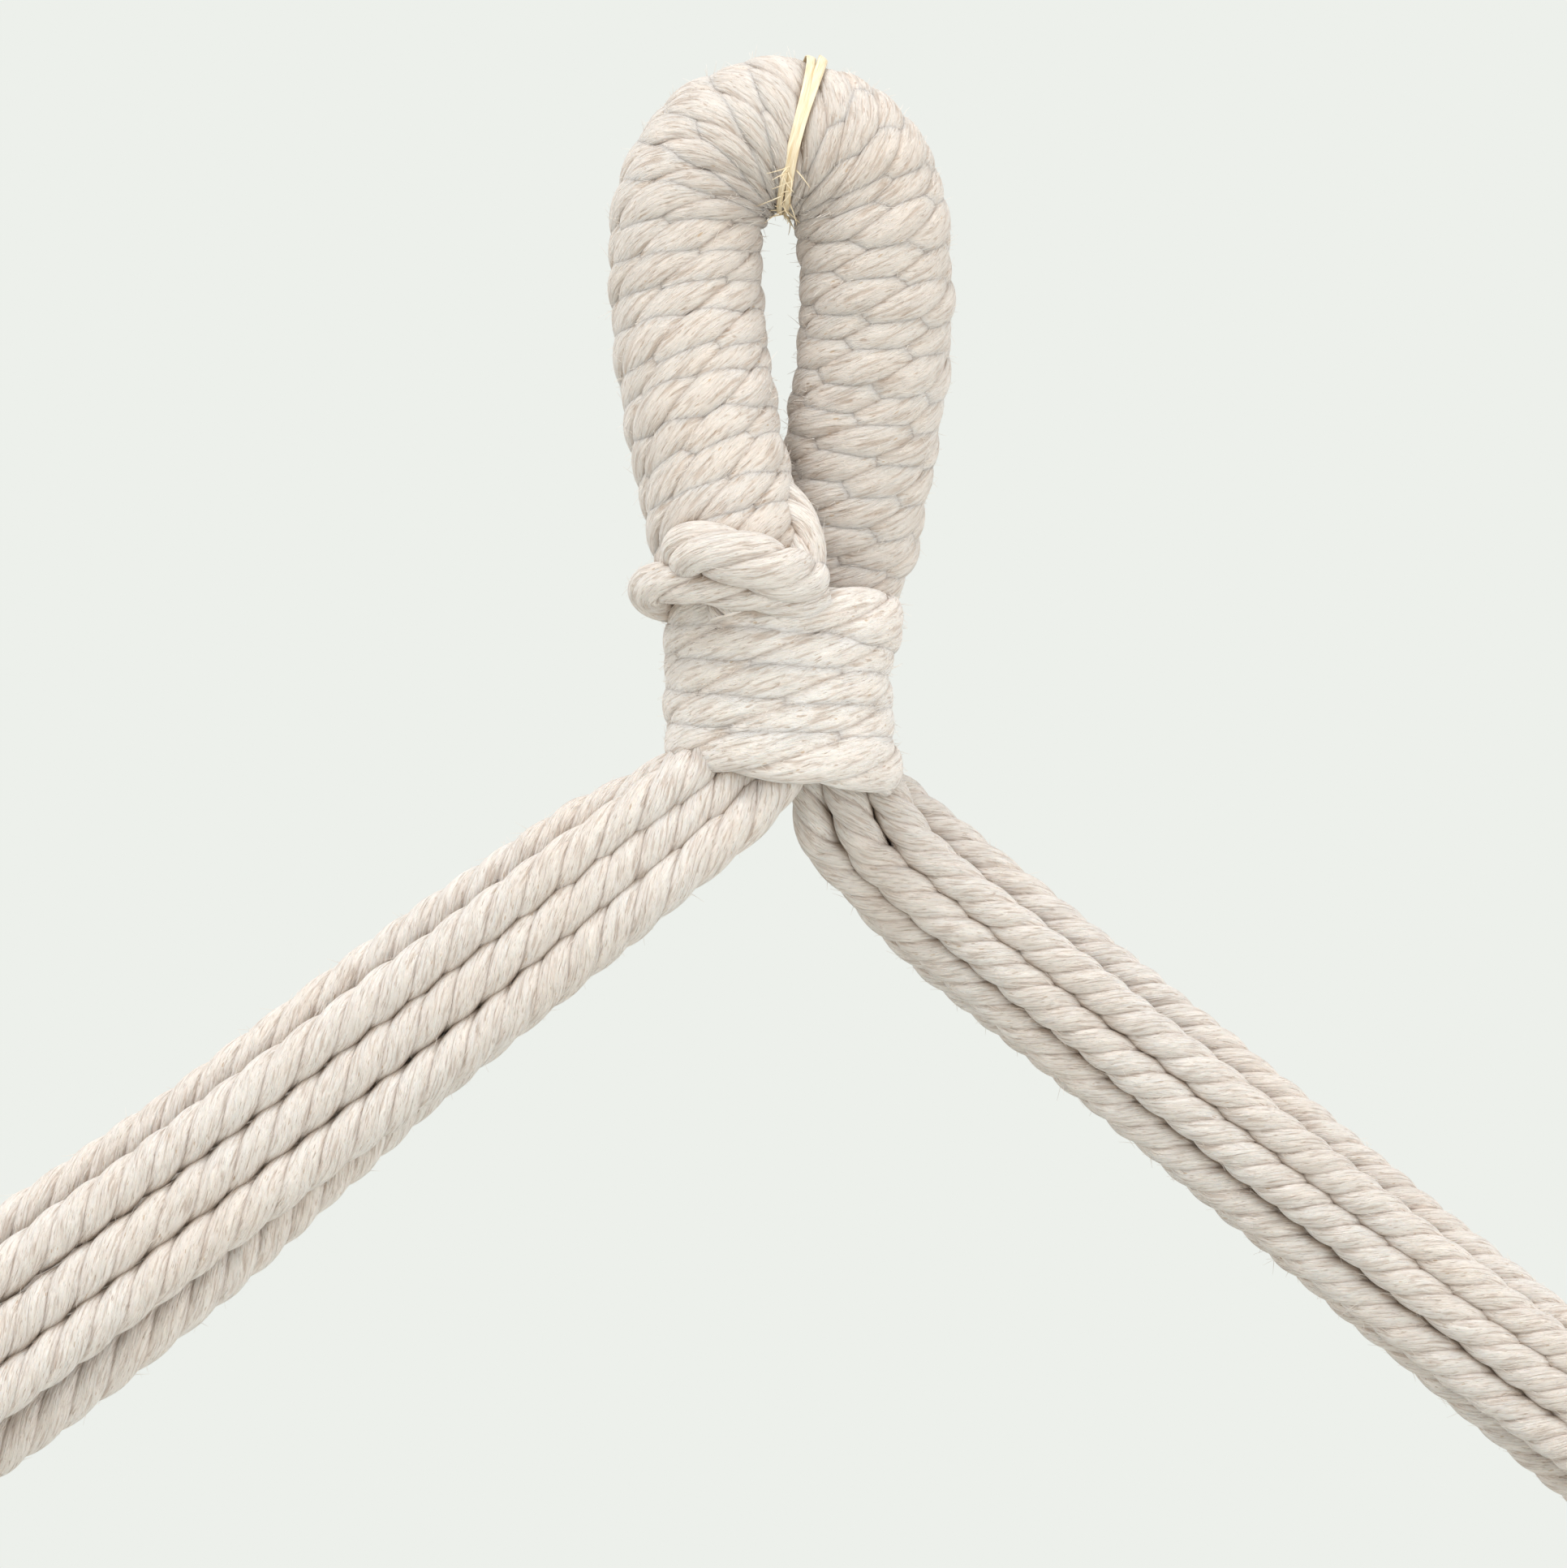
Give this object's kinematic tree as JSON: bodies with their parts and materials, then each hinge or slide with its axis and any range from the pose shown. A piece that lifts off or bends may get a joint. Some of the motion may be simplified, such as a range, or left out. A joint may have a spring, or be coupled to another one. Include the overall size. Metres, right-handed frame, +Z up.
{
  "type": "hanging macrame planter",
  "caption": "Knotted cotton cord hanger with a wrapped hanging eye, two bundles of cord, a knotted net and a tassel, holding a round earthenware bowl.",
  "frame": {"origin": "crown of the hanging eye, where a hook bears, midway through the cord", "axes": "+Z up, +X to the right-hand bundle, -Y towards the front, where the left leg of the eye crosses in front"},
  "size_m": [0.3124, 0.3, 0.4965],
  "materials": {
    "cotton": "natural three-strand twisted cotton cord",
    "raffia": "dry split raffia",
    "terracotta": "matt unglazed earthenware"
  },
  "bodies": {
    "hanger": {"finishing_knot": "cotton", "gather_core": "cotton", "gather_wrap": "cotton", "left_cord_1": "cotton", "left_cord_2": "cotton", "left_cord_3": "cotton", "left_cord_4": "cotton", "left_cord_5": "cotton", "left_cord_6": "cotton", "left_root": "cotton", "loop_core": "cotton", "loop_wrap_left": "cotton", "loop_wrap_right": "cotton", "lower_knot_1": "cotton", "lower_knot_2": "cotton", "lower_knot_3": "cotton", "lower_knot_4": "cotton", "lower_knot_5": "cotton", "lower_knot_6": "cotton", "neck_core": "cotton", "neck_wrap": "cotton", "net_cords_left": "cotton", "net_cords_right": "cotton", "raffia_tie": "raffia", "right_cord_1": "cotton", "right_cord_2": "cotton", "right_cord_3": "cotton", "right_cord_4": "cotton", "right_cord_5": "cotton", "right_cord_6": "cotton", "right_root": "cotton", "tail_bight": "cotton", "tassel_cords_1": "cotton", "tassel_cords_2": "cotton", "tassel_cords_3": "cotton", "tassel_cords_4": "cotton", "under_cords_1": "cotton", "under_cords_2": "cotton", "under_cords_3": "cotton", "under_cords_4": "cotton", "under_cords_5": "cotton", "under_cords_6": "cotton", "upper_knot_1": "cotton", "upper_knot_2": "cotton", "upper_knot_3": "cotton", "upper_knot_4": "cotton", "upper_knot_5": "cotton", "upper_knot_6": "cotton"},
    "bowl": {"bowl": "terracotta"}
  },
  "joints": [
    {"name": "bowl_turn", "type": "hinge", "parent": "hanger", "child": "bowl", "pos_m": [0, 0, -0.185], "axis": [0, 0, 1], "continuous": true}
  ]
}
